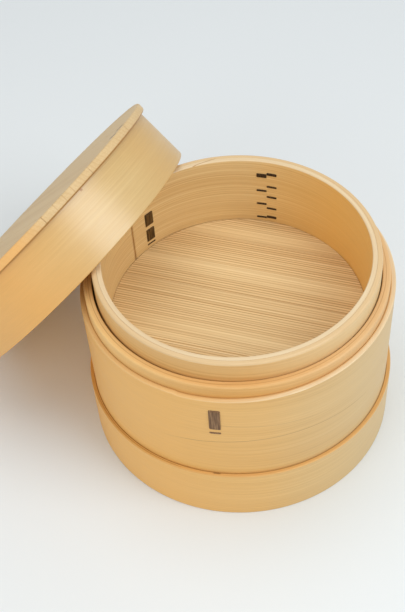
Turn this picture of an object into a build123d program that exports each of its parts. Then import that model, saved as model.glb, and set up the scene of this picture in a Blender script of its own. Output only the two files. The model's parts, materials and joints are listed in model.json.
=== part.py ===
from build123d import *
from math import acos, cos, degrees, radians, sin, sqrt, tan
import os

os.makedirs("parts", exist_ok=True)

# A round bentwood steamer: a body of hoops on the table, a basket hung inside it, and a lid
# that leans on the basket's rim. Millimetres and degrees. The origin is on the body's axis at
# table level, +Z is up, +X is to the right and the front stitch faces -Y.

# Body: the wide outer hoop sets the size, and the others nest inside or round it
outer_hoop_radius = 120.0
outer_hoop_wall = 4.1
outer_hoop_height = 141.7
outer_hoop_slope = 1.5  # its top edge climbs to the right
bottom_hoop_wall = 3.4
bottom_hoop_height = 49.8
bottom_hoop_slope = 1.1  # its top edge climbs to the front
body_hoop_wall = 6.4
body_hoop_slope = 0.5  # its top edge climbs to the right
lip_height = 10.4  # body hoop above the outer hoop
skirt_depth = 12.0  # body hoop's lower edge above the table
skirt_clearance = 1.0  # round the lip of a tier below
rest_hoop_wall = 6.0
rest_hoop_depth = 28.0

# Basket: two layers of bent strip round a boarded floor
basket_clearance = 0.9
basket_shift = (0.3, -0.3)
basket_rise = 17.0  # rim above the body hoop
basket_depth = 64.9  # rim to floor
outer_layer_wall = 3.9
inner_layer_wall = 3.7
inner_lap_angle = 142.0
inner_lap_gap = 0.5
ledge_hoop_wall = 6.0
ledge_hoop_depth = 12.0
floor_thickness = 6.0
floor_boards = 7
floor_angle = -20.0  # the boards run this way
floor_batten_width = 18.0
floor_batten_thickness = 9.0
floor_batten_spacing = 100.0
batten_end_wall = 2.0  # ledge hoop outside a batten's end

# Lid: a hoop under a boarded top, leaning on the basket
lid_hoop_wall = 7.1
lid_clearance = 0.6  # between the body hoop and the lid pushed over it
lid_hoop_depth = 47.1
lid_board_thickness = 7.0
lid_board_overhang = 4.2
lid_board_round = 1.8
lid_boards = 5
lid_board_angle = -20.0  # from the uphill line of the lid
lid_inner_hoop_wall = 4.5
lid_inner_hoop_depth = 11.0
lid_batten_width = 18.0
lid_batten_thickness = 7.0
lid_batten_spacing = 110.0
lid_notch_angle = -15.0
lid_notch_width = 1.6
lid_notch_height = 1.6
lid_notch_depth = 0.8
lid_azimuth = 148.7  # the side of the body that the lid stands on
lid_overlap = 25.5  # how far the lid's rim reaches past the basket's, up the slope
lid_rest_gap = 0.3
rounded_rims_bring_in = 2.35  # the rounded rims let the lid come this much nearer

# Bark stitches, pegs, edges and the gaps between glued pieces
bark_thickness = 0.5
bark_width = 8.2
bark_slot_gap = 0.05
bark_column_gap = 0.2
peg_radius = 1.5
peg_gap = 0.05
peg_bite = 4.0
peg_cover = 2.0  # wood left between a blind peg and the far face
hoop_pegs = 8
rest_peg_angle = 10.0
ledge_peg_angle = 22.5
rim_peg_angle = 12.7
rim_peg_pairs = 4
rim_peg_pair_angle = 6.2
rim_peg_bite = 12.0
hoop_fit = 0.1
board_gap = 0.25
seat_gap = 0.3
rim_round = 2.0
edge_round = 1.0
trim_allowance = 10.0  # a hoop stands this much higher until its sloping edge is cut

# Stitch places: angle round the hoop, then how far below the hoop's rim each shown span lies
outer_stitch_angle = 257.8
outer_stitch_spans = ((10.2, 34.2), (36.8, 38.8))
bottom_stitch_angle = 75.0
bottom_stitch_spans = ((7.0, 9.0), (13.0, 27.0), (30.0, 32.0))
body_stitch_angle = 100.0
body_stitch_spans = ((12.0, 26.0), (29.0, 43.0), (46.0, 60.0))
side_stitch_angle = 130.8
side_stitch_spans = ((9.4, 24.0), (26.9, 41.4), (44.2, 58.4), (60.4, 62.0))
back_stitch_angle = 71.3
back_stitch_right = ((11.4, 14.0), (25.2, 27.1), (36.5, 38.4), (49.2, 51.1), (58.3, 61.3))
back_stitch_left = ((12.6, 17.2), (30.3, 32.2), (44.9, 46.8), (59.9, 61.5))
lid_stitch_angle = 150.0
lid_stitch_spans = ((8.0, 10.0), (13.0, 27.0), (30.0, 32.0))

# Radii that follow, from the outer hoop inwards
bottom_hoop_inner = outer_hoop_radius + hoop_fit
bottom_hoop_radius = bottom_hoop_inner + bottom_hoop_wall
outer_hoop_inner = outer_hoop_radius - outer_hoop_wall
body_hoop_radius = outer_hoop_inner - hoop_fit
body_hoop_inner = body_hoop_radius - body_hoop_wall
skirt_radius = body_hoop_radius + skirt_clearance
rest_hoop_radius = body_hoop_inner - hoop_fit
rest_hoop_inner = rest_hoop_radius - rest_hoop_wall
basket_radius = body_hoop_inner - basket_clearance
layer_joint_radius = basket_radius - outer_layer_wall
inner_layer_radius = layer_joint_radius - hoop_fit
basket_inner = inner_layer_radius - inner_layer_wall
ledge_hoop_radius = basket_inner - hoop_fit
ledge_hoop_inner = ledge_hoop_radius - ledge_hoop_wall
floor_radius = basket_inner - seat_gap
lid_hoop_inner = body_hoop_radius + lid_clearance
lid_hoop_radius = lid_hoop_inner + lid_hoop_wall
lid_board_radius = lid_hoop_radius + lid_board_overhang
lid_inner_hoop_radius = lid_hoop_inner - hoop_fit
lid_inner_hoop_inner = lid_inner_hoop_radius - lid_inner_hoop_wall

# Heights that follow, from the table up
body_hoop_height = outer_hoop_height + lip_height
basket_top = body_hoop_height + basket_rise
floor_top = basket_top - basket_depth
floor_underside = floor_top - floor_thickness
basket_bottom = floor_underside - ledge_hoop_depth
basket_height = basket_top - basket_bottom
rest_hoop_top = basket_bottom - seat_gap

# The lid stands on the lower edge of its rim, and its axis points up and outwards. Going up
# its slope from the centre, its rim crosses the basket's rim on both sides of the slope line.
lid_axis_rise = degrees(acos(basket_top / (2 * lid_hoop_radius - lid_overlap)))
slope_cos = cos(radians(lid_axis_rise))
slope_sin = sin(radians(lid_axis_rise))
lid_centre_height = lid_hoop_radius * slope_cos - edge_round * (slope_cos + slope_sin - 1)
climb = basket_top - lid_centre_height
crossing_half_width = sqrt(lid_hoop_inner**2 - (climb / slope_cos) ** 2)
crossing_distance = sqrt(basket_radius**2 - crossing_half_width**2)
slope_reach = climb * tan(radians(lid_axis_rise))
lid_distance = crossing_distance + slope_reach + lid_rest_gap - rounded_rims_bring_in
outwards = Vector(cos(radians(lid_azimuth)), sin(radians(lid_azimuth)), 0)
lid_axis = outwards * slope_cos + Vector(0, 0, slope_sin)
lid_uphill = outwards * -slope_sin + Vector(0, 0, slope_cos)
lid_centre = outwards * lid_distance + Vector(basket_shift[0], basket_shift[1], lid_centre_height)

body_frame = Plane.XY
basket_frame = Plane(origin=(basket_shift[0], basket_shift[1], 0))
lid_frame = Plane(origin=lid_centre, x_dir=lid_uphill, z_dir=lid_axis)


def hoop(frame, low, high, outer, inner, mode=Mode.ADD):
    with BuildSketch(frame.offset(low)) as ring:
        Circle(outer)
        Circle(inner, mode=Mode.SUBTRACT)
    extrude(ring.sketch, amount=high - low, mode=mode)


def upright(frame, angle, radius=0.0):
    # a plane through the frame's axis, with X pointing out and Y along the axis
    out = frame.x_dir * cos(radians(angle)) + frame.y_dir * sin(radians(angle))
    across = frame.x_dir * sin(radians(angle)) - frame.y_dir * cos(radians(angle))
    return Plane(origin=frame.origin + out * radius, x_dir=out, z_dir=across)


def bark_strip(frame, angle, rim, shown, hidden, spans, gap=0.0, mode=Mode.ADD):
    # one running stitch: it shows on one face of the wall along the spans, goes through the
    # wall at the end of each, and lies on the other face between them
    strip = bark_thickness + 2 * gap
    with BuildSketch(upright(frame, angle)) as section:
        for high, low in spans:
            with Locations((shown, rim - (high + low) / 2)):
                Rectangle(strip, low - high + 2 * gap)
            for level in (high + bark_thickness / 2, low - bark_thickness / 2):
                with Locations(((shown + hidden) / 2, rim - level)):
                    Rectangle(abs(shown - hidden) + strip, strip)
        for (_, upper), (lower, _) in zip(spans, spans[1:]):
            with Locations((hidden, rim - (upper + lower) / 2)):
                Rectangle(strip, lower - upper + 2 * bark_thickness + 2 * gap)
    extrude(section.sketch, amount=bark_width / 2 + gap, both=True, mode=mode)


def radial_pegs(frame, level, start, end, first_angle, gap=0.0, mode=Mode.ADD):
    for turn in range(hoop_pegs):
        spot = upright(frame, first_angle + turn * 360 / hoop_pegs, start)
        facing = Plane(origin=spot.origin + frame.z_dir * level, z_dir=spot.x_dir)
        with BuildSketch(facing) as round_peg:
            Circle(peg_radius + gap)
        extrude(round_peg.sketch, amount=end - start, mode=mode)


def board_places(radius, count):
    pitch = 2 * radius / count
    return [(place - (count - 1) / 2) * pitch for place in range(count)]


def turned(frame, angle, level):
    along = frame.x_dir * cos(radians(angle)) + frame.y_dir * sin(radians(angle))
    return Plane(origin=frame.origin + frame.z_dir * level, x_dir=along, z_dir=frame.z_dir)


def board_pegs(plane, radius, count, spacing, reach, depth, gap=0.0, mode=Mode.ADD):
    # one peg where each board crosses each batten, kept inside the battens' ends
    furthest = sqrt((reach - 2 * peg_radius) ** 2 - (spacing / 2) ** 2)
    for across in board_places(radius, count):
        place = max(-furthest, min(furthest, across))
        for along in (-spacing / 2, spacing / 2):
            with BuildSketch(plane) as round_peg:
                with Locations((along, place)):
                    Circle(peg_radius + gap)
            extrude(round_peg.sketch, amount=depth + gap, mode=mode)


def batten_face(plane, along, width, reach, gap=0.0):
    with BuildSketch(plane) as face:
        with Locations((along, 0)):
            Rectangle(width + 2 * gap, 2 * reach)
        Circle(reach + gap, mode=Mode.INTERSECT)
    return face.sketch


def save(piece, name):
    piece.part.label = name
    export_step(piece.part, f"parts/{name}.step")


# Stitch columns: frame, angle, rim level, shown and hidden places in the wall, and spans
outer_stitch = (
    body_frame,
    outer_stitch_angle,
    outer_hoop_height,
    outer_hoop_radius,
    body_hoop_inner + bark_thickness / 2,
    outer_stitch_spans,
)
bottom_stitch = (
    body_frame,
    bottom_stitch_angle,
    bottom_hoop_height,
    bottom_hoop_radius,
    outer_hoop_inner + bark_thickness / 2,
    bottom_stitch_spans,
)
body_stitch = (
    body_frame,
    body_stitch_angle,
    body_hoop_height,
    body_hoop_inner + bark_thickness / 2,
    body_hoop_radius - bark_thickness / 2,
    body_stitch_spans,
)
side_stitch = (
    basket_frame,
    side_stitch_angle,
    basket_top,
    basket_inner,
    basket_radius - bark_thickness / 2,
    side_stitch_spans,
)
column_step = degrees((bark_width + bark_column_gap) / 2 / basket_inner)
back_stitches = [
    (
        basket_frame,
        back_stitch_angle + side * column_step,
        basket_top,
        basket_inner,
        basket_radius - bark_thickness / 2,
        spans,
    )
    for side, spans in ((-1, back_stitch_right), (1, back_stitch_left))
]
lid_stitch = (
    lid_frame,
    lid_stitch_angle,
    lid_hoop_depth,
    lid_hoop_radius,
    lid_hoop_inner + bark_thickness / 2,
    lid_stitch_spans,
)
slot = {"gap": bark_slot_gap, "mode": Mode.SUBTRACT}
peg_hole = {"gap": peg_gap, "mode": Mode.SUBTRACT}

# Pegs that hold the rest hoop and the ledge hoop
rest_peg_row = (
    body_frame,
    rest_hoop_top - rest_hoop_depth / 2,
    rest_hoop_inner,
    body_hoop_inner + peg_bite,
    rest_peg_angle,
)
ledge_peg_row = (
    basket_frame,
    basket_bottom + ledge_hoop_depth / 2,
    ledge_hoop_radius - peg_bite,
    basket_radius,
    ledge_peg_angle,
)

# Body hoops
with BuildPart() as outer_hoop:
    hoop(body_frame, 0, outer_hoop_height + trim_allowance, outer_hoop_radius, outer_hoop_inner)
    outer_edge = Plane((0, 0, outer_hoop_height)).rotated((0, -outer_hoop_slope, 0))
    split(bisect_by=outer_edge, keep=Keep.BOTTOM)
    fillet(outer_hoop.faces().sort_by(Axis.Z)[-1].edges(), edge_round)
    hoop(body_frame, 0, skirt_depth, skirt_radius, body_hoop_inner, Mode.SUBTRACT)
    bark_strip(*outer_stitch, **slot)
    bark_strip(*bottom_stitch, **slot)
save(outer_hoop, "outer_hoop")

with BuildPart() as bottom_hoop:
    hoop(body_frame, 0, bottom_hoop_height + trim_allowance, bottom_hoop_radius, bottom_hoop_inner)
    bottom_edge = Plane((0, 0, bottom_hoop_height)).rotated((-bottom_hoop_slope, 0, 0))
    split(bisect_by=bottom_edge, keep=Keep.BOTTOM)
    fillet(bottom_hoop.faces().sort_by(Axis.Z)[-1].edges(), edge_round)
    bark_strip(*bottom_stitch, **slot)
save(bottom_hoop, "bottom_hoop")

with BuildPart() as body_hoop:
    hoop(body_frame, skirt_depth, body_hoop_height + trim_allowance, body_hoop_radius, body_hoop_inner)
    body_edge = Plane((0, 0, body_hoop_height)).rotated((0, -body_hoop_slope, 0))
    split(bisect_by=body_edge, keep=Keep.BOTTOM)
    fillet(body_hoop.faces().sort_by(Axis.Z)[-1].edges(), edge_round)
    bark_strip(*body_stitch, **slot)
    bark_strip(*outer_stitch, **slot)
    radial_pegs(*rest_peg_row, **peg_hole)
save(body_hoop, "body_hoop")

with BuildPart() as rest_hoop:
    rest_hoop_bottom = rest_hoop_top - rest_hoop_depth
    hoop(body_frame, rest_hoop_bottom, rest_hoop_top, rest_hoop_radius, rest_hoop_inner)
    radial_pegs(*rest_peg_row, **peg_hole)
save(rest_hoop, "rest_hoop")

with BuildPart() as rest_hoop_pegs:
    radial_pegs(*rest_peg_row)
save(rest_hoop_pegs, "rest_hoop_pegs")

with BuildPart() as outer_hoop_stitch:
    bark_strip(*outer_stitch)
save(outer_hoop_stitch, "outer_hoop_stitch")

with BuildPart() as bottom_hoop_stitch:
    bark_strip(*bottom_stitch)
save(bottom_hoop_stitch, "bottom_hoop_stitch")

with BuildPart() as body_hoop_stitch:
    bark_strip(*body_stitch)
save(body_hoop_stitch, "body_hoop_stitch")

# Basket wall
with BuildPart() as basket_outer_layer:
    hoop(basket_frame, basket_bottom, basket_top, basket_radius, layer_joint_radius)
    top_circles = basket_outer_layer.edges().filter_by(GeomType.CIRCLE).group_by(Axis.Z)[-1]
    fillet(top_circles.sort_by(SortBy.LENGTH)[-1], rim_round)
    bark_strip(*side_stitch, **slot)
    for column in back_stitches:
        bark_strip(*column, **slot)
    radial_pegs(*ledge_peg_row, **peg_hole)
save(basket_outer_layer, "basket_outer_layer")

with BuildPart() as basket_inner_layer:
    hoop(basket_frame, basket_bottom, basket_top, inner_layer_radius, basket_inner)
    top_circles = basket_inner_layer.edges().filter_by(GeomType.CIRCLE).group_by(Axis.Z)[-1]
    fillet(top_circles.sort_by(SortBy.LENGTH)[0], edge_round)
    bark_strip(*side_stitch, **slot)
    for column in back_stitches:
        bark_strip(*column, **slot)
    radial_pegs(*ledge_peg_row, **peg_hole)
    lap_radius = (inner_layer_radius + basket_inner) / 2
    with BuildSketch(upright(basket_frame, inner_lap_angle, lap_radius)) as lap:
        with Locations((0, basket_bottom + basket_height / 2)):
            Rectangle(2 * inner_layer_wall, 2 * basket_height)
    extrude(lap.sketch, amount=inner_lap_gap / 2, both=True, mode=Mode.SUBTRACT)
save(basket_inner_layer, "basket_inner_layer")

with BuildPart() as basket_side_stitch:
    bark_strip(*side_stitch)
save(basket_side_stitch, "basket_side_stitch")

with BuildPart() as basket_back_stitches:
    for column in back_stitches:
        bark_strip(*column)
save(basket_back_stitches, "basket_back_stitches")

# Basket floor: boards on a ledge hoop and two battens
floor_battens = [-floor_batten_spacing / 2, floor_batten_spacing / 2]
batten_reach = ledge_hoop_radius - batten_end_wall
batten_level = turned(basket_frame, floor_angle, floor_underside - floor_batten_thickness)
floor_peg_depth = floor_batten_thickness + floor_thickness - peg_cover
floor_peg_rows = (
    batten_level,
    floor_radius,
    floor_boards,
    floor_batten_spacing,
    batten_reach,
    floor_peg_depth,
)

with BuildPart() as ledge_hoop:
    hoop(basket_frame, basket_bottom, floor_underside, ledge_hoop_radius, ledge_hoop_inner)
    radial_pegs(*ledge_peg_row, **peg_hole)
    for along in floor_battens:
        notch = batten_face(batten_level, along, floor_batten_width, batten_reach, hoop_fit)
        extrude(notch, amount=floor_batten_thickness, mode=Mode.SUBTRACT)
save(ledge_hoop, "ledge_hoop")

with BuildPart() as ledge_hoop_pegs:
    radial_pegs(*ledge_peg_row)
save(ledge_hoop_pegs, "ledge_hoop_pegs")

for number, along in enumerate(floor_battens, start=1):
    with BuildPart() as floor_batten:
        end_face = batten_face(batten_level, along, floor_batten_width, batten_reach)
        extrude(end_face, amount=floor_batten_thickness)
        board_pegs(*floor_peg_rows, **peg_hole)
    save(floor_batten, f"floor_batten_{number}")

floor_board_width = 2 * floor_radius / floor_boards - board_gap
for number, across in enumerate(board_places(floor_radius, floor_boards), start=1):
    with BuildPart() as floor_board:
        with BuildSketch(turned(basket_frame, floor_angle, floor_underside)):
            Circle(floor_radius)
            with Locations((0, across)):
                Rectangle(2 * floor_radius, floor_board_width, mode=Mode.INTERSECT)
        extrude(amount=floor_thickness)
        board_pegs(*floor_peg_rows, **peg_hole)
    save(floor_board, f"floor_board_{number}")

with BuildPart() as floor_pegs:
    board_pegs(*floor_peg_rows)
save(floor_pegs, "floor_pegs")

# Lid: hoop, inner hoop, top boards, battens and pegs
lid_battens = [-lid_batten_spacing / 2, lid_batten_spacing / 2]
lid_batten_level = turned(lid_frame, lid_board_angle, lid_hoop_depth - lid_batten_thickness)
lid_peg_depth = lid_batten_thickness + lid_board_thickness - peg_cover
lid_batten_reach = lid_inner_hoop_inner - seat_gap
lid_peg_rows = (
    lid_batten_level,
    lid_board_radius,
    lid_boards,
    lid_batten_spacing,
    lid_batten_reach,
    lid_peg_depth,
)
rim_peg_radius = (lid_hoop_radius + lid_hoop_inner) / 2
rim_peg_angles = [
    rim_peg_angle + pair * 360 / rim_peg_pairs + second
    for pair in range(rim_peg_pairs)
    for second in (0, rim_peg_pair_angle)
]
rim_peg_level = lid_frame.offset(lid_hoop_depth + lid_board_thickness)


def rim_pegs(gap=0.0, mode=Mode.ADD):
    for angle in rim_peg_angles:
        spot = (rim_peg_radius * cos(radians(angle)), rim_peg_radius * sin(radians(angle)))
        with BuildSketch(rim_peg_level) as round_peg:
            with Locations(spot):
                Circle(peg_radius + gap)
        extrude(round_peg.sketch, amount=-(lid_board_thickness + rim_peg_bite), mode=mode)


with BuildPart() as lid_hoop:
    hoop(lid_frame, 0, lid_hoop_depth, lid_hoop_radius, lid_hoop_inner)
    fillet(lid_hoop.faces().filter_by(GeomType.PLANE).sort_by(Axis.Z)[0].edges(), edge_round)
    bark_strip(*lid_stitch, **slot)
    rim_pegs(**peg_hole)
    with BuildSketch(upright(lid_frame, lid_notch_angle, lid_hoop_radius)) as corner:
        with Locations((0, lid_hoop_depth)):
            Rectangle(2 * lid_notch_depth, 2 * lid_notch_height)
    extrude(corner.sketch, amount=lid_notch_width / 2, both=True, mode=Mode.SUBTRACT)
save(lid_hoop, "lid_hoop")

with BuildPart() as lid_inner_hoop:
    hoop(
        lid_frame,
        lid_hoop_depth - lid_inner_hoop_depth,
        lid_hoop_depth,
        lid_inner_hoop_radius,
        lid_inner_hoop_inner,
    )
save(lid_inner_hoop, "lid_inner_hoop")

with BuildPart() as lid_hoop_stitch:
    bark_strip(*lid_stitch)
save(lid_hoop_stitch, "lid_hoop_stitch")

lid_board_width = 2 * lid_board_radius / lid_boards - board_gap
for number, across in enumerate(board_places(lid_board_radius, lid_boards), start=1):
    with BuildPart() as lid_board:
        with BuildSketch(lid_frame.offset(lid_hoop_depth)):
            Circle(lid_board_radius)
        extrude(amount=lid_board_thickness)
        fillet(lid_board.edges().filter_by(GeomType.CIRCLE), lid_board_round)
        with BuildSketch(turned(lid_frame, lid_board_angle, lid_hoop_depth)) as strip:
            with Locations((0, across)):
                Rectangle(2 * lid_board_radius, lid_board_width)
        extrude(strip.sketch, amount=lid_board_thickness, mode=Mode.INTERSECT)
        board_pegs(*lid_peg_rows, **peg_hole)
        rim_pegs(**peg_hole)
    save(lid_board, f"lid_board_{number}")

for number, along in enumerate(lid_battens, start=1):
    with BuildPart() as lid_batten:
        end_face = batten_face(lid_batten_level, along, lid_batten_width, lid_batten_reach)
        extrude(end_face, amount=lid_batten_thickness)
        board_pegs(*lid_peg_rows, **peg_hole)
    save(lid_batten, f"lid_batten_{number}")

with BuildPart() as lid_batten_pegs:
    board_pegs(*lid_peg_rows)
save(lid_batten_pegs, "lid_batten_pegs")

with BuildPart() as lid_rim_pegs:
    rim_pegs()
save(lid_rim_pegs, "lid_rim_pegs")
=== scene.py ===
import json
from math import atan2, cos, degrees, pi, radians, sin, tan

import bmesh
import bpy
from mathutils import Color, Matrix, Vector


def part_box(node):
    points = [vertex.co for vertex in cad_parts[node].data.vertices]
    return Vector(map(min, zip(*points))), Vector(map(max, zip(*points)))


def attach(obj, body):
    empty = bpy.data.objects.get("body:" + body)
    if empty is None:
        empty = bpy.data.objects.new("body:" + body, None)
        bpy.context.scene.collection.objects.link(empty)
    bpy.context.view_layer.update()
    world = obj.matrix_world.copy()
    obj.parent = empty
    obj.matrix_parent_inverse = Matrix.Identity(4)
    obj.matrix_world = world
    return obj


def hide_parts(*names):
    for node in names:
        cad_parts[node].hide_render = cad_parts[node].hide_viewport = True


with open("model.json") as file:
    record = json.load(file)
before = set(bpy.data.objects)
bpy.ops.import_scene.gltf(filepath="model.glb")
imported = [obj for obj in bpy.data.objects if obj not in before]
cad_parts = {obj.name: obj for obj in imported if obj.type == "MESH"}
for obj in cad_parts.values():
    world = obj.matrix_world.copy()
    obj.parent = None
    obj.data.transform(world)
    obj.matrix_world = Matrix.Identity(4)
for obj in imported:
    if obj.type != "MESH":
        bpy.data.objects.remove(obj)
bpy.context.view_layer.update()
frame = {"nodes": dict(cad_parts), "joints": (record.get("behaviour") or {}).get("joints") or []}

# A bentwood steamer: a body of sewn hoops, a basket in it and a lid leaning on the basket.
# Sizes are in metres and angles in degrees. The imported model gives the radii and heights.
nodes = frame["nodes"]


# Places and measures: each body has its own place, with Z along the axis of its hoops

def leaningPlace(origin, axis):
    # Z along the axis, and X as near to straight up as it can be
    up = Vector((0, 0, 1))
    axis = axis.normalized()
    along = (up - axis * axis.dot(up)).normalized()
    place = Matrix((along, axis.cross(along), axis)).transposed().to_4x4()
    place.translation = origin
    return place


def middleOf(node):
    low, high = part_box(node)
    return (low + high) / 2


def measure(node, place):
    # radii and levels of a round node in its own place
    back = place.inverted()
    points = [back @ v.co for v in nodes[node].data.vertices]
    radii = [p.xy.length for p in points]
    levels = [p.z for p in points]
    return {"inner": min(radii), "outer": max(radii), "low": min(levels), "high": max(levels)}


def measureBoards(stem, place):
    # a round top of boards of one thickness that lie side by side
    names = sorted(name for name in nodes if name.startswith(stem))
    sizes = [measure(name, place) for name in names]
    radius = max(size["outer"] for size in sizes)
    return {
        "count": len(sizes), "radius": radius, "width": 2 * radius / len(sizes),
        "low": sizes[0]["low"], "high": sizes[0]["high"],
    }


lidAxis = Vector(next(j["axis"] for j in frame["joints"] if j["child"] == "lid"))
basketMiddle = middleOf("basket_outer_layer")
bodyPlace = Matrix.Identity(4)
basketPlace = Matrix.Translation((basketMiddle.x, basketMiddle.y, 0))
lidPlace = leaningPlace(middleOf("lid_inner_hoop"), lidAxis)
lidPlace.translation += lidAxis * measure("lid_hoop", lidPlace)["low"]  # level 0 is its open edge
places = {"body": bodyPlace, "basket": basketPlace, "lid": lidPlace}

outerHoop = measure("outer_hoop", bodyPlace)
bottomHoop = measure("bottom_hoop", bodyPlace)
bodyHoop = measure("body_hoop", bodyPlace)
innerLayer = measure("basket_inner_layer", basketPlace)
outerLayer = measure("basket_outer_layer", basketPlace)
lidHoop = measure("lid_hoop", lidPlace)
floorTop = measureBoards("floor_board", basketPlace)
lidTop = measureBoards("lid_board", lidPlace)


# Node trees

def shade(red, green, blue):
    # a colour as it shows on a screen, 0 to 255, as the shader wants it
    linear = Color((red / 255, green / 255, blue / 255)).from_srgb_to_scene_linear()
    return (*linear, 1.0)


def grey(value):
    return (value, value, value, 1.0)


def addNode(tree, kind, settings=None, inputs=None):
    node = tree.nodes.new("ShaderNode" + kind)
    for key, value in (settings or {}).items():
        setattr(node, key, value)
    for key, value in (inputs or {}).items():
        if isinstance(value, bpy.types.NodeSocket):
            tree.links.new(value, node.inputs[key])
        else:
            node.inputs[key].default_value = value
    return node


def calc(tree, operation, *values):
    made = addNode(tree, "Math", {"operation": operation}, dict(enumerate(values)))
    return made.outputs[0]


def noise(tree, vector, extra, detail, rough):
    made = addNode(tree, "TexNoise", {"noise_dimensions": "4D"},
                   {"Vector": vector, "W": extra, "Scale": 1.0, "Detail": detail, "Roughness": rough})
    return made.outputs["Fac"]


def ramp(tree, value, stops):
    made = addNode(tree, "ValToRGB", {}, {"Fac": value})
    elements = made.color_ramp.elements
    while len(elements) < len(stops):
        elements.new(1.0)
    for element, (spot, colour) in zip(elements, stops):
        element.position = spot
        element.color = colour
    return made.outputs["Color"]


def fade(tree, value, span, first, last):
    # a grey that goes from first to last while the value crosses the span
    start, end = span
    return ramp(tree, value, [(start, grey(first)), (end, grey(last))])


def mixColour(tree, factor, first, second, blend="MIX"):
    made = addNode(tree, "Mix", {"data_type": "RGBA", "blend_type": blend},
                   {"Factor": factor, "A": first, "B": second})
    return made.outputs["Result"]


def radiusOf(tree, x, y):
    return calc(tree, "SQRT", calc(tree, "MULTIPLY_ADD", x, x, calc(tree, "MULTIPLY", y, y)))


def localPoint(tree, place, turn=0.0):
    # the object's coordinates seen from a piece's own place
    where = addNode(tree, "TexCoord").outputs["Object"]
    turned = place @ Matrix.Rotation(radians(turn), 4, "Z")
    made = addNode(tree, "Mapping", {"vector_type": "TEXTURE"},
                   {"Vector": where, "Location": turned.translation, "Rotation": turned.to_euler()})
    return addNode(tree, "SeparateXYZ", {}, {0: made.outputs[0]}).outputs


def emptyMaterial(name):
    material = bpy.data.materials.new(name)
    material.use_nodes = True
    material.node_tree.nodes.clear()
    return material, material.node_tree


def addSurface(tree, colour, rough, height, look):
    # the surface that woods and bark share, with a shallow relief
    bump = addNode(tree, "Bump", {},
                   {"Height": height, "Strength": look["bump"], "Distance": look["bumpDepth"]})
    shader = addNode(tree, "BsdfPrincipled", {}, {
        "Base Color": colour,
        "Roughness": rough,
        "Specular IOR Level": look["gloss"],
        "Normal": bump.outputs[0],
    })
    addNode(tree, "OutputMaterial", {}, {"Surface": shader.outputs[0]})


# What all the woods have in common. A growth line starts at its foot's grey, is darkest at its peak
# and is faintest in the pale bands. Fibres raise the surface, lines sink it, and the fibres change its
# roughness from smoother to rougher.
woodNoise = {
    "wander": {"shift": 0.0, "detail": 1.0, "rough": 0.5},
    "band": {"shift": 3.1, "detail": 1.5, "rough": 0.5},
    "fine": {"shift": 7.3, "detail": 3.0, "rough": 0.6},
    "fibre": {"shift": 11.7, "detail": 1.0, "rough": 0.5},
}
fadeSpans = {
    "bands": (0.3, 0.7), "bandLines": (0.35, 0.65), "streaks": (0.42, 0.70), "gleams": (0.30, 0.46),
    "fibres": (0.3, 0.7),
}
growthLine = {"foot": 0.12, "peak": 0.7, "faintest": 0.3}
boardShift = 40  # boards are cut up to this many growth lines apart
relief = {"fibres": 0.6, "lines": -0.5, "smoother": 0.05, "rougher": 0.07}
lineFade = 0.8  # a painted line fades out over this share of its half width


def roundGrain(tree, x, y, z, look):
    # the strip runs round the axis, so its grain changes with height and depth
    radius = radiusOf(tree, x, y)
    driftX, driftY = look["drift"]
    drift = calc(tree, "MULTIPLY_ADD", x, driftX, calc(tree, "MULTIPLY", y, driftY))
    across = calc(tree, "ADD", calc(tree, "ADD", z, drift), radius)
    return {"along": (x, y), "across": across, "depth": radius}


def boardGrain(tree, x, y, z, look):
    # boards run along X, side by side along Y, each from another part of the tree
    board = calc(tree, "FLOOR", calc(tree, "MULTIPLY_ADD", y, 1 / look["pitch"], look["boards"] / 2))
    tone = addNode(tree, "TexWhiteNoise", {"noise_dimensions": "1D"}, {"W": board}).outputs["Value"]
    leaning = calc(tree, "MULTIPLY_ADD", z, look["lean"], y)
    across = calc(tree, "MULTIPLY_ADD", tone, look["spacing"] * boardShift, leaning)
    return {"along": (x,), "across": across, "depth": z, "tone": tone}


def stretchedNoise(tree, grain, look, kind):
    # noise that is long along the grain and narrow across it
    run, width = look[kind + "Size"]
    settings = woodNoise[kind]
    inputs = {axis: calc(tree, "MULTIPLY", value, 1 / run) for axis, value in enumerate(grain["along"])}
    inputs[2] = calc(tree, "MULTIPLY_ADD", grain["across"], 1 / width, settings["shift"])
    vector = addNode(tree, "CombineXYZ", {}, inputs).outputs[0]
    depth = calc(tree, "MULTIPLY", grain["depth"], 1 / width)
    return noise(tree, vector, depth, settings["detail"], settings["rough"])


def growthLines(tree, grain, bands, look):
    # dark lines that rise slowly and end sharply, fainter in some bands
    bent = calc(tree, "MULTIPLY", stretchedNoise(tree, grain, look, "wander"), look["wander"])
    rings = calc(tree, "FRACT", calc(tree, "MULTIPLY_ADD", grain["across"], 1 / look["spacing"], bent))
    start = look["lineStart"]
    peak = start + growthLine["peak"] * (1 - start)
    lines = ramp(tree, rings, [
        (0.0, grey(0)), (start, grey(growthLine["foot"])), (peak, grey(1)), (1.0, grey(0)),
    ])
    faintest = look["lines"] * growthLine["faintest"]
    strength = fade(tree, bands, fadeSpans["bandLines"], faintest, look["lines"])
    return calc(tree, "MULTIPLY", lines, strength)


def inside(tree, value, half, soft):
    # 1 where the value is within half of zero, falling to 0 over the soft width
    away = calc(tree, "ABSOLUTE", value)
    made = addNode(tree, "Math", {"operation": "MULTIPLY_ADD", "use_clamp": True},
                   {0: away, 1: -1 / soft, 2: (half + soft) / soft})
    return made.outputs[0]


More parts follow.
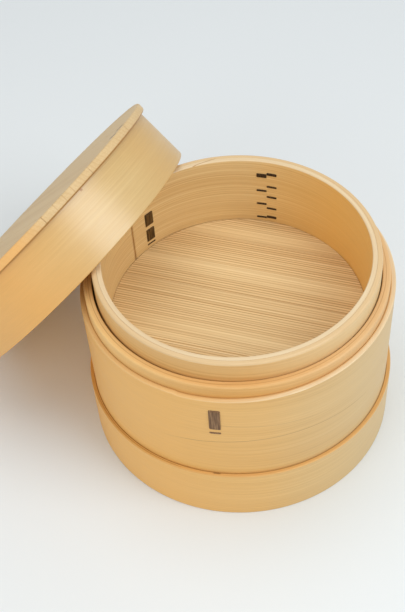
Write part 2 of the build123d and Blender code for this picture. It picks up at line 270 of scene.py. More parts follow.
def markMask(tree, x, y, z, mark, placeTurn):
    # one mark on a round piece, placed by its angle and, where it is a line, by its level or radius
    angle = calc(tree, "MULTIPLY", calc(tree, "ARCTAN2", y, x), 180 / pi)
    turn = calc(tree, "WRAP", calc(tree, "SUBTRACT", angle, mark["angle"] - placeTurn), 180.0, -180.0)
    mask = inside(tree, turn, mark["halfAngle"], mark["softAngle"])
    bend = calc(tree, "MULTIPLY", calc(tree, "MULTIPLY", turn, turn), mark.get("bend", 0.0))
    shift = calc(tree, "MULTIPLY_ADD", turn, mark.get("slope", 0.0), bend)
    for key, value in (("level", z), ("radius", radiusOf(tree, x, y))):
        if key in mark:
            away = calc(tree, "SUBTRACT", calc(tree, "SUBTRACT", value, mark[key]), shift)
            near = inside(tree, away, mark["halfWidth"], mark["halfWidth"] * lineFade)
            mask = calc(tree, "MULTIPLY", mask, near)
    return calc(tree, "MULTIPLY", mask, mark["strength"])


def woodMaterial(name, place, look):
    # straight-grained wood: growth lines, broad tone bands, short fibres and a soft sheen
    material, tree = emptyMaterial(name)
    turn = look.get("turn", 0.0)
    x, y, z = localPoint(tree, place, turn)
    grain = roundGrain(tree, x, y, z, look) if look["run"] == "round" else boardGrain(tree, x, y, z, look)

    bands = stretchedNoise(tree, grain, look, "band")
    coloured = mixColour(tree, fade(tree, bands, fadeSpans["bands"], 0, 1),
                         shade(*look["pale"]), shade(*look["mid"]))
    if "tone" in grain:
        depth = calc(tree, "MULTIPLY", grain["tone"], look["boardTone"])
        coloured = mixColour(tree, depth, coloured, shade(*look["deep"]))
    lines = growthLines(tree, grain, bands, look)
    coloured = mixColour(tree, lines, coloured, shade(*look["line"]))
    fine = stretchedNoise(tree, grain, look, "fine")
    streaks = fade(tree, fine, fadeSpans["streaks"], 0, look["fine"])
    coloured = mixColour(tree, streaks, coloured, shade(*look["line"]))
    gleams = fade(tree, fine, fadeSpans["gleams"], look["fine"], 0)
    coloured = mixColour(tree, gleams, coloured, shade(*look["gleam"]))
    for mark in look.get("marks", ()):
        mask = markMask(tree, x, y, z, mark, turn)
        coloured = mixColour(tree, mask, coloured, shade(*mark["colour"]))
    fibres = stretchedNoise(tree, grain, look, "fibre")
    fibreTone = fade(tree, fibres, fadeSpans["fibres"], 1 - look["fibre"], 1)
    coloured = mixColour(tree, 1.0, coloured, fibreTone, "MULTIPLY")

    height = calc(tree, "MULTIPLY_ADD", fibres, relief["fibres"],
                  calc(tree, "MULTIPLY", lines, relief["lines"]))
    rough = fade(tree, fibres, fadeSpans["fibres"],
                 look["rough"] - relief["smoother"], look["rough"] + relief["rougher"])
    addSurface(tree, coloured, rough, height, look)
    return material


def barkMaterial(name, place, look):
    # dark bark with fibres along the strip and a few paler flecks
    material, tree = emptyMaterial(name)
    x, y, z = localPoint(tree, place)
    vector = addNode(tree, "CombineXYZ", {}, {
        0: calc(tree, "MULTIPLY", x, 1 / look["streak"]),
        1: calc(tree, "MULTIPLY", y, 1 / look["streak"]),
        2: calc(tree, "MULTIPLY", z, 1 / look["run"]),
    }).outputs[0]
    streaks = noise(tree, vector, calc(tree, "ADD", x, y), look["detail"], look["detailRough"])
    tones = (shade(*look["deep"]), shade(*look["mid"]), shade(*look["pale"]))
    coloured = ramp(tree, streaks, list(zip(look["toneStops"], tones)))
    addSurface(tree, coloured, look["rough"], streaks, look)
    return material


# Finishes: colours are as seen on a screen, and sizes are along and across the grain. Marks are tints and
# painted lines, many of them painted light and shade. Angle 0 is at the right of the body and of the basket,
# and at the highest point of the leaning lid. A line may climb by a slope per degree, and bend.

plainGrain = {
    "run": "round", "drift": (0.03, 0.02), "spacing": 0.0032, "lineStart": 0.5,
    "wander": 2.2, "wanderSize": (0.35, 0.012), "bandSize": (0.40, 0.022),
    "fine": 0.30, "fineSize": (0.20, 0.0011), "fibre": 0.05, "fibreSize": (0.010, 0.00045),
    "lines": 0.25, "bump": 0.15, "bumpDepth": 0.0002, "rough": 0.46, "gloss": 0.35,
}
allRound = {"angle": 0.0, "halfAngle": 180.0, "softAngle": 0.3}

# Outer hoop and bottom hoop: painted light at both sides, warm at the left and paler at the right, with a
# long and a short line on the outer one, and with painted shade at the left and in the gap by the outer hoop,
# a ply line and a small knot on the bottom one's edge
# painted light: warmer and brighter at the left, as if lit by light the wood throws back, and paler and
# cooler at the right, as if lit from that side
paintedSideLight = [
    {"angle": -150.0, "halfAngle": 30.0, "softAngle": 50.0, "colour": (246, 190, 108), "strength": 0.8},
    {"angle": -15.0, "halfAngle": 30.0, "softAngle": 40.0, "colour": (212, 188, 142), "strength": 0.65},
]
longLine = {
    "angle": -80.0, "halfAngle": 30.0, "softAngle": 12.0, "level": outerHoop["high"] - 0.0500,
    "halfWidth": 0.00022, "bend": -0.0000045, "colour": (160, 112, 62), "strength": 0.55,
}
shortLine = {
    "angle": -84.0, "halfAngle": 16.0, "softAngle": 8.0, "level": outerHoop["high"] - 0.0343,
    "halfWidth": 0.00018, "slope": -0.00019, "colour": (160, 112, 62), "strength": 0.35,
}
hoopWood = dict(plainGrain, pale=(230, 190, 126), mid=(223, 179, 112), line=(190, 140, 78),
                gleam=(238, 203, 146), marks=[*paintedSideLight, longLine, shortLine])
bottomWood = dict(hoopWood, drift=(0.03, -0.02), spacing=0.0021, lineStart=0.6, lines=0.42, fine=0.40,
                  pale=(233, 194, 128), mid=(227, 185, 118), marks=paintedSideLight)
# the top edges: paler, as planed edge wood is, and partly a painted sheen where they face the light above
rimWoodAndSheen = dict(plainGrain, pale=(238, 216, 178), mid=(232, 206, 164), line=(206, 166, 114),
               gleam=(242, 226, 194), lines=0.18)
# painted shade on the outer hoop's rim: darker and warmer at the left, beside the lid's shadow
rimLeftShade = {"angle": -150.0, "halfAngle": 40.0, "softAngle": 35.0, "colour": (230, 184, 116), "strength": 0.8}
# painted shade: a line along the rim's inner rounded edge, beside the lip's wall
rimEdgeShade = dict(allRound, radius=outerHoop["inner"] + 0.0004, halfWidth=0.0006, colour=(220, 174, 110),
                strength=0.75)
bodyRimWood = dict(rimWoodAndSheen, marks=[rimLeftShade, rimEdgeShade])
# painted shade on the bottom hoop's top edge: darker and warmer at the left
footLeftShade = {"angle": -160.0, "halfAngle": 30.0, "softAngle": 35.0, "colour": (220, 168, 92), "strength": 0.8}
footPly = {
    "angle": -140.0, "halfAngle": 22.0, "softAngle": 3.0, "radius": bottomHoop["inner"] + 0.0016,
    "halfWidth": 0.00016, "colour": (150, 100, 40), "strength": 0.7,
}
# painted shade: a dark line in the gap where the bottom hoop's top edge meets the outer hoop's wall
footGapShade = dict(allRound, radius=bottomHoop["inner"] + 0.0002, halfWidth=0.0003, colour=(168, 116, 52),
                 strength=0.7)
footKnot = {
    "angle": -102.6, "halfAngle": 0.9, "softAngle": 0.8, "radius": bottomHoop["inner"] + 0.0008,
    "halfWidth": 0.0004, "colour": (110, 70, 30), "strength": 0.7,
}
# the bottom hoop's top edge: darker and more orange than the other rims, as painted shade and warm bounce
# beside the outer hoop's wall
bottomRimWood = dict(rimWoodAndSheen, pale=(228, 180, 114), mid=(222, 171, 102), line=(190, 134, 72),
                     gleam=(236, 192, 130), marks=[footLeftShade, footPly, footGapShade, footKnot])

# Body hoop, whose top shows as a lip with a ply line along it and painted light at both sides, and the bare
# inside of the body
# painted light: paler at the right, as if lit from that side, and brighter at the left, where the lid shades
# it
paleLightRight = {"angle": -5.0, "halfAngle": 40.0, "softAngle": 45.0, "colour": (226, 188, 138), "strength": 0.75}
paleLightLeft = {"angle": 182.0, "halfAngle": 32.0, "softAngle": 45.0, "colour": (250, 210, 142), "strength": 0.75}
plyShare = 0.45  # of the lip's thickness, from the inside
lipPly = dict(allRound, radius=bodyHoop["inner"] + plyShare * (bodyHoop["outer"] - bodyHoop["inner"]),
              halfWidth=0.00022, colour=(178, 122, 62), strength=0.45)
lipWood = dict(hoopWood, pale=(234, 184, 112), mid=(228, 174, 100), line=(196, 140, 74),
               gleam=(240, 196, 130), marks=[paleLightRight, paleLightLeft])
# the lip's top edge: darker and more orange than the outer rim, as painted shade and warm bounce beside the
# basket's wall
lipRimWood = dict(rimWoodAndSheen, pale=(232, 186, 122), mid=(226, 176, 110), line=(196, 142, 78),
                  gleam=(238, 198, 142), marks=[paleLightRight, paleLightLeft, lipPly])
insideWood = dict(plainGrain, pale=(238, 211, 156), mid=(232, 201, 142), line=(184, 136, 78),
                  gleam=(242, 220, 174), spacing=0.0022, lineStart=0.6, lines=0.45, fine=0.38)

# Basket: a wall of two layers, with painted light on its outside at both sides and painted warm shade inside
# at the right, and a scarf line across its rim at the back
basketWood = dict(hoopWood, pale=(232, 186, 120), mid=(224, 176, 108),
                  marks=[dict(paleLightRight, colour=(230, 206, 160)), dict(paleLightLeft, strength=0.2)])
scarfLine = {
    "angle": 100.0, "halfAngle": 5.0, "softAngle": 1.0, "radius": innerLayer["inner"] + 0.0022,
    "halfWidth": 0.00022, "slope": -0.00035, "colour": (178, 132, 78), "strength": 0.8,
}
basketRimWood = dict(rimWoodAndSheen, pale=(226, 196, 150), mid=(220, 187, 138), gleam=(232, 206, 166),
                     marks=[scarfLine])
innerRimWood = dict(rimWoodAndSheen, pale=(232, 210, 172), mid=(226, 200, 158), marks=[scarfLine])
# painted shade: the inside at the right is darker and more orange, where the light from the right does not
# reach
insideShadeRight = {"angle": 5.0, "halfAngle": 30.0, "softAngle": 45.0, "colour": (250, 198, 108), "strength": 0.8}
basketInsideWood = dict(insideWood, marks=[insideShadeRight])

# Boards of the floor and of the lid's top, both laid at a slant. The lid's top has a warm edge, ticks
# of end grain, two peg ends with painted shade round them and a painted shadow along its lower edge.
boardTurn = -20.0
floorWood = {
    "run": "board", "turn": boardTurn, "lean": 0.4, "boards": floorTop["count"],
    "pitch": floorTop["width"], "boardTone": 0.15,
    "pale": (245, 218, 166), "mid": (239, 208, 154), "deep": (233, 199, 143),
    "line": (164, 116, 60), "gleam": (248, 225, 180),
    "spacing": 0.0024, "lineStart": 0.52, "wander": 2.0, "wanderSize": (0.6, 0.020), "bandSize": (0.7, 0.016),
    "fine": 0.40, "fineSize": (0.30, 0.0011), "fibre": 0.05, "fibreSize": (0.012, 0.0005),
    "lines": 1.0, "bump": 0.25, "bumpDepth": 0.0002, "rough": 0.55, "gloss": 0.25,
}
topEdge = {
    "angle": -80.0, "halfAngle": 36.0, "softAngle": 14.0, "radius": lidTop["radius"] + 0.0003,
    "halfWidth": 0.0022, "colour": (242, 182, 104), "strength": 0.75,
}
endTick = {
    "halfAngle": 0.10, "softAngle": 0.20, "radius": lidTop["radius"] - 0.0002, "halfWidth": 0.0016,
    "colour": (178, 132, 78), "strength": 0.3,
}
endTicks = [dict(endTick, angle=angle) for angle in (-31.5, -26.0, -21.6, -17.6)]
# the two peg ends: dark end grain, with painted shade round them
pegEndAndShade = {
    "halfAngle": 1.0, "softAngle": 0.4, "radius": (lidHoop["inner"] + lidHoop["outer"]) / 2,
    "halfWidth": 0.0027, "colour": (64, 36, 14), "strength": 0.95,
}
pegEndsAndShade = [dict(pegEndAndShade, angle=angle) for angle in (12.7, 18.9)]
# painted shadow: a dark line along the boards' lower edge, where they overhang the hoop
boardUnderShadow = dict(allRound, level=lidHoop["high"] + 0.0003, halfWidth=0.0004, colour=(176, 126, 62),
                  strength=0.8)
lidTopWood = dict(floorWood, boards=lidTop["count"], pitch=lidTop["width"], boardTone=0.12,
                  pale=(226, 198, 150), mid=(218, 187, 136), deep=(210, 175, 122), line=(192, 152, 98),
                  gleam=(232, 208, 166), spacing=0.0036, lines=0.32, fine=0.22, rough=0.5, gloss=0.3,
                  marks=[topEdge, *endTicks, *pegEndsAndShade, boardUnderShadow])

# Lid hoop: glossier, with painted warm shade at the left and underneath, painted shade at its upper end,
# a painted shadow under the boards and a painted dark patch for a notch
# painted warm shade: darker and more orange at the left and underneath, as if lit by light the wood throws
# back
lidShadeLeft = {"angle": -120.0, "halfAngle": 66.0, "softAngle": 34.0, "colour": (230, 170, 84), "strength": 0.85}
# painted shade: darker at the upper end, against the sheen there
lidEndShade = {"angle": 32.0, "halfAngle": 16.0, "softAngle": 14.0, "colour": (214, 170, 98), "strength": 0.45}
# painted shadow: a dark line at the top of the hoop, under the boards' overhang
overhangShadow = dict(allRound, level=lidHoop["high"] - 0.0002, halfWidth=0.0004, colour=(182, 136, 70),
                 strength=0.75)
# painted shade: a small dark patch stands in for a notch that the hoop's shape does not have
notchShade = {
    "angle": -15.0, "halfAngle": 0.35, "softAngle": 0.25, "level": lidHoop["high"] - 0.0009,
    "halfWidth": 0.0009, "colour": (176, 118, 30), "strength": 0.9,
}
lidHoopWood = dict(plainGrain, pale=(217, 186, 126), mid=(210, 175, 110), line=(186, 138, 76),
                   gleam=(226, 196, 140), lines=0.14, fine=0.22, rough=0.34, gloss=1.0,
                   marks=[lidShadeLeft, lidEndShade, overhangShadow, notchShade])

# Pegs and bark
pegWood = dict(plainGrain, pale=(176, 128, 74), mid=(162, 114, 62), line=(120, 80, 42),
               gleam=(188, 144, 90), lines=0.4)
bark = {
    "deep": (92, 64, 42), "mid": (132, 100, 70), "pale": (168, 134, 98), "toneStops": (0.30, 0.52, 0.75),
    "streak": 0.0007, "run": 0.012, "detail": 3.0, "detailRough": 0.6,
    "bump": 0.5, "bumpDepth": 0.0003, "rough": 0.62, "gloss": 0.3,
}
sideBark = dict(bark, deep=(46, 32, 12), mid=(86, 62, 28), pale=(140, 106, 54))
backBark = dict(bark, deep=(26, 16, 8), mid=(56, 38, 18), pale=(104, 78, 40))

woods = {
    "bodyWood": ("body", hoopWood),
    "bodyRim": ("body", bodyRimWood),
    "bodyInside": ("body", insideWood),
    "bottomWood": ("body", bottomWood),
    "bottomRim": ("body", bottomRimWood),
    "lipWood": ("body", lipWood),
    "lipRim": ("body", lipRimWood),
    "basketWood": ("basket", basketWood),
    "basketRim": ("basket", basketRimWood),
    "basketInside": ("basket", basketInsideWood),
    "innerRim": ("basket", innerRimWood),
    "floorBoards": ("basket", floorWood),
    "lidHoopWood": ("lid", lidHoopWood),
    "lidInside": ("lid", insideWood),
    "lidBoards": ("lid", lidTopWood),
    "pegs": ("body", pegWood),
    "lidPegs": ("lid", pegWood),
}
barks = {
    "bodyBark": ("body", bark),
    "basketBark": ("basket", sideBark),
    "backBark": ("basket", backBark),
    "lidBark": ("lid", bark),
}
materials = {name: woodMaterial(name, places[body], look) for name, (body, look) in woods.items()}
for name, (body, look) in barks.items():
    materials[name] = barkMaterial(name, places[body], look)
print("finishes made:", len(materials))


# Pieces

def addMesh(name, bm):
    mesh = bpy.data.meshes.new(name)
    bm.to_mesh(mesh)
    bm.free()
    return mesh


def addObject(name, data):
    made = bpy.data.objects.new(name, data)
    bpy.context.scene.collection.objects.link(made)
    return made


def newPiece(name, bm, body, slotName, *finishes):
    bmesh.ops.recalc_face_normals(bm, faces=bm.faces)
    mesh = addMesh(name, bm)
    for polygon in mesh.polygons:
        polygon.use_smooth = True
    for finish in finishes:
        mesh.materials.append(materials[finish])
    piece = addObject(name, mesh)
    even = piece.modifiers.new("evenNormals", "WEIGHTED_NORMAL")
    even.weight = 100  # large faces count most
    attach(piece, body)
    return piece


onRingDistance = 1e-5
mergeDistance = 1e-6


def ringEdges(bm, radius, level):
    def onRing(vert):
        return max(abs(vert.co.xy.length - radius), abs(vert.co.z - level)) < onRingDistance
    return [e for e in bm.edges if onRing(e.verts[0]) and onRing(e.verts[1])]


def roundEdges(bm, edges, offset, segments):
    bmesh.ops.bevel(bm, geom=edges, offset=offset, segments=segments, profile=0.5, affect="EDGES",
                    material=-1)


# Hoops: finishes are for the wall, the top edge and the inside, and rounds go round the section from
# its lower inside corner. The top edge climbs by degrees along X and Y, and rises to a step where the
# strip laps. A lap's gap is where its ends meet. A wave bends the wall two and three times round.
hoopSteps = 288
hoopRoundSegments = 4
facingShare = 0.5  # a face looks up or inwards when this much of its normal does
bodyWave = {"two": 0.00012, "twoAt": 40.0, "three": 0.00008, "threeAt": 100.0}
basketWave = {"two": 0.00012, "twoAt": 150.0, "three": 0.00008, "threeAt": 20.0}
hoopLooks = {
    "outerHoopWood": {
        "node": "outer_hoop", "body": "body", "slot": "hoop_wood",
        "finishes": ("bodyWood", "bodyRim", "bodyInside"), "climb": (1.5, 0.0),
        "rounds": (0.0006, 0.0006, 0.0010, 0.0006), "wave": bodyWave,
        "step": {"angle": 244.0, "rise": 0.0009, "fade": 60.0}},
    "bottomHoopWood": {
        "node": "bottom_hoop", "body": "body", "slot": "hoop_wood",
        "finishes": ("bottomWood", "bottomRim", "bodyInside"), "climb": (0.0, -1.1),
        "rounds": (0.0005, 0.0010, 0.0010, 0.0005), "wave": bodyWave},
    "bodyHoopWood": {
        "node": "body_hoop", "body": "body", "slot": "hoop_wood",
        "finishes": ("lipWood", "lipRim", "bodyInside"), "climb": (0.5, 0.0),
        "rounds": (0.0006, 0.0006, 0.0016, 0.0010), "wave": bodyWave},
    "basketOuterWood": {
        "node": "basket_outer_layer", "body": "basket", "slot": "rim_wood",
        "finishes": ("basketWood", "basketRim", "basketInside"),
        "rounds": (0.0005, 0.0010, 0.0020, 0.0002), "wave": basketWave},
    "basketInnerWood": {
        "node": "basket_inner_layer", "body": "basket", "slot": "rim_wood",
        "finishes": ("basketWood", "innerRim", "basketInside"),
        "rounds": (0.0008, 0.0005, 0.0002, 0.0010), "wave": basketWave,
        "lap": {"angle": 142.0, "gap": 0.0008}},
    "lidHoopWood": {
        "node": "lid_hoop", "body": "lid", "slot": "hoop_wood",
        "finishes": ("lidHoopWood", "lidHoopWood", "lidInside"),
        "rounds": (0.0010, 0.0010, 0.0004, 0.0004), "wave": basketWave},
}


def climbOf(look):
    # how much the top edge rises along X and along Y
    return [tan(radians(angle)) for angle in look.get("climb", (0.0, 0.0))]


def evenTop(look):
    # the level of a hoop's top edge before it slopes
    size = measure(look["node"], places[look["body"]])
    return size["high"] - size["outer"] * max(abs(rise) for rise in climbOf(look))


def spunSection(bm, corners, turn, start=0.0):
    # a closed section spun round the axis; a part turn gets end faces
    section = [bm.verts.new((r * cos(start), r * sin(start), level)) for r, level in corners]
    sides = [bm.edges.new((a, b)) for a, b in zip(section, section[1:] + section[:1])]
    whole = turn >= 2 * pi
    if not whole:
        bm.faces.new(section)
    bmesh.ops.spin(bm, geom=section + sides, cent=(0, 0, 0), axis=(0, 0, 1), angle=turn,
                   steps=hoopSteps, use_merge=whole)
    bmesh.ops.remove_doubles(bm, verts=bm.verts, dist=mergeDistance)
    if not whole:
        bmesh.ops.edgeloop_fill(bm, edges=[e for e in bm.edges if e.is_boundary])


def bendHoop(bm, halfway, look):
    # slopes the top, lifts it before a lap's step and makes the round a little uneven
    climbX, climbY = climbOf(look)
    wave = look["wave"]
    step = look.get("step")
    for vert in bm.verts:
        angle = atan2(vert.co.y, vert.co.x)
        if vert.co.z > halfway:
            vert.co.z += vert.co.x * climbX + vert.co.y * climbY
            if step:
                before = (radians(step["angle"]) - angle) % (2 * pi)
                vert.co.z += step["rise"] * max(0.0, 1 - before / radians(step["fade"]))
        push = wave["two"] * cos(2 * angle + radians(wave["twoAt"]))
        push += wave["three"] * cos(3 * angle + radians(wave["threeAt"]))
        vert.co.xy *= 1 + push / vert.co.xy.length


def finishHoop(bm, halfway, middleRadius):
    # faces of the top edge get the second finish, and those of the inside the third
    bmesh.ops.recalc_face_normals(bm, faces=bm.faces)
    for face in bm.faces:
        centre = face.calc_center_median()
        outwards = face.normal.xy.dot(centre.xy.normalized())
        if face.normal.z > facingShare and centre.z > halfway:
            face.material_index = 1
        elif outwards < -facingShare and centre.xy.length < middleRadius:
            face.material_index = 2


def bentHoop(name, look):
    # a strip bent round: a spun section with rounded edges
    place = places[look["body"]]
    size = measure(look["node"], place)
    inner, outer, low, high = size["inner"], size["outer"], size["low"], evenTop(look)
    corners = [(inner, low), (outer, low), (outer, high), (inner, high)]
    bm = bmesh.new()
    lap = look.get("lap")
    if lap:
        opening = lap["gap"] / inner
        spunSection(bm, corners, 2 * pi - opening, radians(lap["angle"]) + opening / 2)
    else:
        spunSection(bm, corners, 2 * pi)
    for (radius, level), offset in zip(corners, look["rounds"]):
        roundEdges(bm, ringEdges(bm, radius, level), offset, hoopRoundSegments)
    halfway = (low + high) / 2
    bendHoop(bm, halfway, look)
    finishHoop(bm, halfway, (inner + outer) / 2)
    bmesh.ops.transform(bm, matrix=place, verts=bm.verts)
    piece = newPiece(name, bm, look["body"], look["slot"], *look["finishes"])
    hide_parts(look["node"])


for name, look in hoopLooks.items():
    bentHoop(name, look)
print("hoops made:", len(hoopLooks))


# Boards: the lifts set one after the other a hair higher or lower
boardSegments = 256
boardRoundSegments = 5
boardEdgeSegments = 2
boardGap = 0.00015
cutDistance = 1e-7
sharpAngle = 50.0
floorLook = {
    "name": "floorBoard", "body": "basket", "slot": "floor_wood", "finish": "floorBoards",
    "rimRound": 0.0003, "edge": 0.00012, "lifts": (0.0, -0.00004, 0.00003, -0.00002)}
lidLook = {
    "name": "lidBoard", "body": "lid", "slot": "lid_wood", "finish": "lidBoards",
    "rimRound": 0.0018, "edge": 0.00015, "lifts": (0.0, -0.00005, 0.0, -0.00003)}


def roundTop(size, look):
    # a disc at level 0 with rounded rims
    thick = size["high"] - size["low"]
    bm = bmesh.new()
    bmesh.ops.create_circle(bm, cap_ends=True, radius=size["radius"], segments=boardSegments)
    top = bmesh.ops.extrude_face_region(bm, geom=bm.faces[:])
    raised = [v for v in top["geom"] if isinstance(v, bmesh.types.BMVert)]
    bmesh.ops.translate(bm, vec=(0, 0, thick), verts=raised)
    for level in (0.0, thick):
        roundEdges(bm, ringEdges(bm, size["radius"], level), look["rimRound"], boardRoundSegments)
    return bm


def sawAlong(bm, y, side):
    # keeps what lies on the inner side of a cut along X, and closes it
    cut = bmesh.ops.bisect_plane(bm, geom=bm.verts[:] + bm.edges[:] + bm.faces[:], dist=cutDistance,
                                 plane_co=(0, y, 0), plane_no=(0, side, 0), clear_outer=True)
    edges = [e for e in cut["geom_cut"] if isinstance(e, bmesh.types.BMEdge)]
    bmesh.ops.edgeloop_fill(bm, edges=[e for e in edges if e.is_valid and e.is_boundary])


def boardSet(nodeStem, size, look):
    # a round top cut into boards, each with softened edges
    place = places[look["body"]]
    turn = Matrix.Rotation(radians(boardTurn), 4, "Z")
    for number in range(size["count"]):
        bm = roundTop(size, look)
        middle = (number - (size["count"] - 1) / 2) * size["width"]
        for side in (-1, 1):
            sawAlong(bm, middle + side * (size["width"] - boardGap) / 2, side)
        sharp = [e for e in bm.edges if len(e.link_faces) == 2 and e.calc_face_angle() > radians(sharpAngle)]
        roundEdges(bm, sharp, look["edge"], boardEdgeSegments)
        lift = Matrix.Translation((0, 0, size["low"] + look["lifts"][number % len(look["lifts"])]))
        bmesh.ops.transform(bm, matrix=place @ lift @ turn, verts=bm.verts)
        piece = newPiece(f"{look['name']}_{number + 1}", bm, look["body"], look["slot"], look["finish"])
        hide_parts(f"{nodeStem}_{number + 1}")
    print(look["name"], "made:", size["count"])


boardSet("floor_board", floorTop, floorLook)
boardSet("lid_board", lidTop, lidLook)


# Bark stitches: a column is an angle, the level of its rim and its patches, from and to below the rim.
# Past the flat share of its width, and within the dip of its ends, a patch sinks below its lift.
stitchBase = {
    "width": 0.0082, "thickness": 0.0004, "lift": 0.00035, "dip": 0.0011, "flat": 0.8,
    "endSink": 2.6, "sideSink": 0.5, "across": 8, "along": 10,
}
backAngle = 71.3
columnShift = 0.0042  # each column at the back stands this far from the angle, along the wall
columnStep = degrees(columnShift / innerLayer["inner"])
outerRim = evenTop(hoopLooks["outerHoopWood"])
bottomRim = evenTop(hoopLooks["bottomHoopWood"])
bodyRim = evenTop(hoopLooks["bodyHoopWood"])
stitches = {
    "outerStitch": {
        "node": "outer_hoop_stitch", "body": "body", "finish": "bodyBark", "faces": 1,
        "shown": outerHoop["outer"], "hidden": bodyHoop["inner"],
        "columns": [(257.8, outerRim, ((0.0102, 0.0342), (0.0368, 0.0388)))]},
    "bottomStitch": {
        "node": "bottom_hoop_stitch", "body": "body", "finish": "bodyBark", "faces": 1,
        "shown": bottomHoop["outer"], "hidden": outerHoop["inner"],
        "columns": [(75.0, bottomRim, ((0.007, 0.009), (0.013, 0.027), (0.030, 0.032)))]},
    "bodyStitch": {
        "node": "body_hoop_stitch", "body": "body", "finish": "bodyBark", "faces": -1,
        "shown": bodyHoop["inner"], "hidden": bodyHoop["outer"],
        "columns": [(100.0, bodyRim, ((0.012, 0.026), (0.029, 0.043), (0.046, 0.060)))]},
    "sideStitch": {
        "node": "basket_side_stitch", "body": "basket", "finish": "basketBark", "faces": -1,
        "shown": innerLayer["inner"], "hidden": outerLayer["outer"],
        "columns": [(130.8, innerLayer["high"],
                     ((0.0080, 0.0160), (0.0269, 0.0414), (0.0442, 0.0584), (0.0602, 0.0620)))]},
    "backStitches": {
        "node": "basket_back_stitches", "body": "basket", "finish": "backBark", "faces": -1,
        "shown": innerLayer["inner"], "hidden": outerLayer["outer"],
        "columns": [
            (backAngle - columnStep, innerLayer["high"],
             ((0.0110, 0.0143), (0.0249, 0.0274), (0.0362, 0.0387), (0.0489, 0.0514), (0.0584, 0.0616))),
            (backAngle + columnStep, innerLayer["high"],
             ((0.0126, 0.0172), (0.0300, 0.0325), (0.0446, 0.0471), (0.0598, 0.0621)))]},
    "lidStitch": {
        "node": "lid_hoop_stitch", "body": "lid", "finish": "lidBark", "faces": 1,
        "shown": lidHoop["outer"], "hidden": lidHoop["inner"],
        "columns": [(150.0, lidHoop["high"], ((0.008, 0.010), (0.013, 0.027), (0.030, 0.032)))]},
}


def addPatch(bm, radius, outwards, angle, top, bottom, look):
    # a patch of the strip that follows the wall and dips into it at its ends
    length = top - bottom
    grid = bmesh.ops.create_grid(bm, x_segments=look["across"], y_segments=look["along"], size=0.5)
    for vert in grid["verts"]:
        u, t = vert.co.x, vert.co.y  # across and along the strip, each from -0.5 to 0.5
        ends = max(0.0, 1 - (0.5 - abs(t)) * length / look["dip"])
        sides = max(0.0, abs(u) * 2 - look["flat"]) / (1 - look["flat"])
        lift = look["lift"] * (1 - look["endSink"] * ends**2 - look["sideSink"] * sides**2)
        turn = radians(angle) + u * look["width"] / radius
        reach = radius + outwards * lift
        vert.co = (reach * cos(turn), reach * sin(turn), (top + bottom) / 2 - t * length)


def barkStitch(name, look):
    # one strip, in and out through the wall: patches on its shown side, and between them on the other
    bm = bmesh.new()
    for angle, rim, shown in look["columns"]:
        hidden = [(end, start) for (_, end), (start, _) in zip(shown, shown[1:])]
        for start, end in shown:
            addPatch(bm, look["shown"], look["faces"], angle, rim - start, rim - end, look)
        for start, end in hidden:
            addPatch(bm, look["hidden"], -look["faces"], angle, rim - start, rim - end, look)
    bmesh.ops.transform(bm, matrix=places[look["body"]], verts=bm.verts)
    piece = newPiece(name, bm, look["body"], "bark", look["finish"])
    thick = piece.modifiers.new("thickness", "SOLIDIFY")
    thick.thickness = look["thickness"]
    thick.offset = 0
    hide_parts(look["node"])


for name, look in stitches.items():
    barkStitch(name, dict(stitchBase, **look))
print("stitches made:", len(stitches))


# Hidden carpentry keeps its own shape and gets its wood
keptFinishes = {
    "bodyInside": ["rest_hoop"],
    "basketInside": ["ledge_hoop", "floor_batten_1", "floor_batten_2"],
    "lidInside": ["lid_inner_hoop", "lid_batten_1", "lid_batten_2"],
    "pegs": ["rest_hoop_pegs", "ledge_hoop_pegs", "floor_pegs"],
    "lidPegs": ["lid_batten_pegs", "lid_rim_pegs"],
}
for finish, names in keptFinishes.items():
    for name in names:
        mesh = nodes[name].data
        mesh.materials.clear()
        mesh.materials.append(materials[finish])
print("carpentry finished")


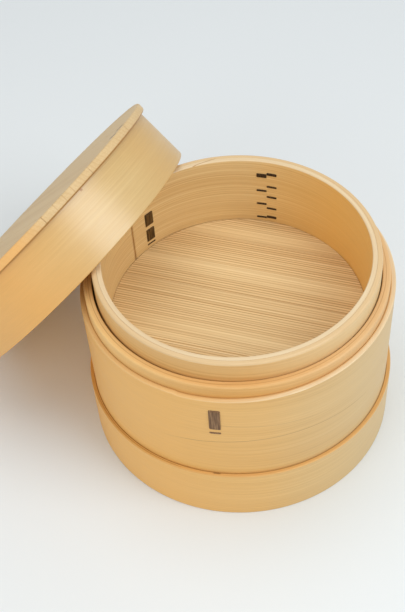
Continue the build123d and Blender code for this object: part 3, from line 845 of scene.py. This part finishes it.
# Floor, light and camera: the warm fill stands in for light that the wood throws back, and the camera
# is fitted to the photograph
stage = {"floor": (230, 236, 239), "rough": 0.6, "side": 12.0}
lampAim = (0.0, 0.0, 0.1)
lamps = {
    "keyLamp": {"place": (0.93, -0.65, 1.22), "size": 1.05, "power": 9.9, "colour": (1.0, 1.0, 0.99)},
    "topLamp": {"place": (-0.18, 0.16, 1.86), "size": 1.6, "power": 8.3, "colour": (1.0, 1.0, 0.99)},
    "leftLamp": {"place": (-0.85, -0.95, 0.75), "size": 0.9, "power": 2.7, "colour": (1.0, 0.94, 0.82)},
    "warmFill": {"place": (-0.17, 0.05, 0.10), "size": 0.10, "power": 0.018, "colour": (1.0, 0.50, 0.08),
                 "aim": (-0.15, 0.02, 0.0), "unseen": True},
}
sky = {"colour": (1.0, 1.0, 1.0, 1.0), "strength": 0.57}
cameraSet = {"place": (-0.02809, -0.55155, 0.73366), "pitch": 48.703, "roll": -4.425, "lens": 62.41,
             "shiftX": 0.00097, "shiftY": 0.00495, "clipStart": 0.01}


def makeFloor():
    bm = bmesh.new()
    bmesh.ops.create_grid(bm, x_segments=2, y_segments=2, size=stage["side"] / 2)
    mesh = addMesh("floor", bm)
    material = bpy.data.materials.new("floorFinish")
    material.use_nodes = True
    shader = material.node_tree.nodes["Principled BSDF"]
    shader.inputs["Base Color"].default_value = shade(*stage["floor"])
    shader.inputs["Roughness"].default_value = stage["rough"]
    mesh.materials.append(material)
    floor = addObject("floor", mesh)


def makeLamps():
    for name, look in lamps.items():
        data = bpy.data.lights.new(name, "AREA")
        data.shape = "DISK"
        data.size = look["size"]
        data.energy = look["power"]
        data.color = look["colour"]
        lamp = addObject(name, data)
        lamp.location = look["place"]
        towards = lamp.location - Vector(look.get("aim", lampAim))
        lamp.rotation_euler = towards.to_track_quat("Z", "Y").to_euler()
        if look.get("unseen"):
            lamp.visible_camera = False
            lamp.visible_glossy = False


def makeSky():
    world = bpy.data.worlds.new("sky")
    bpy.context.scene.world = world
    world.use_nodes = True
    background = world.node_tree.nodes["Background"]
    background.inputs["Color"].default_value = sky["colour"]
    background.inputs["Strength"].default_value = sky["strength"]


def makeCamera():
    data = bpy.data.cameras.new("camera")
    data.lens = cameraSet["lens"]
    data.shift_x = cameraSet["shiftX"]
    data.shift_y = cameraSet["shiftY"]
    data.clip_start = cameraSet["clipStart"]
    camera = addObject("camera", data)
    tilt = Matrix.Rotation(radians(90 - cameraSet["pitch"]), 4, "X")
    roll = Matrix.Rotation(radians(cameraSet["roll"]), 4, "Z")
    camera.matrix_world = Matrix.Translation(cameraSet["place"]) @ tilt @ roll
    bpy.context.scene.camera = camera


makeFloor()
makeLamps()
makeSky()
makeCamera()
bpy.context.scene.view_settings.view_transform = "Standard"
print("stage, lamps and camera set")
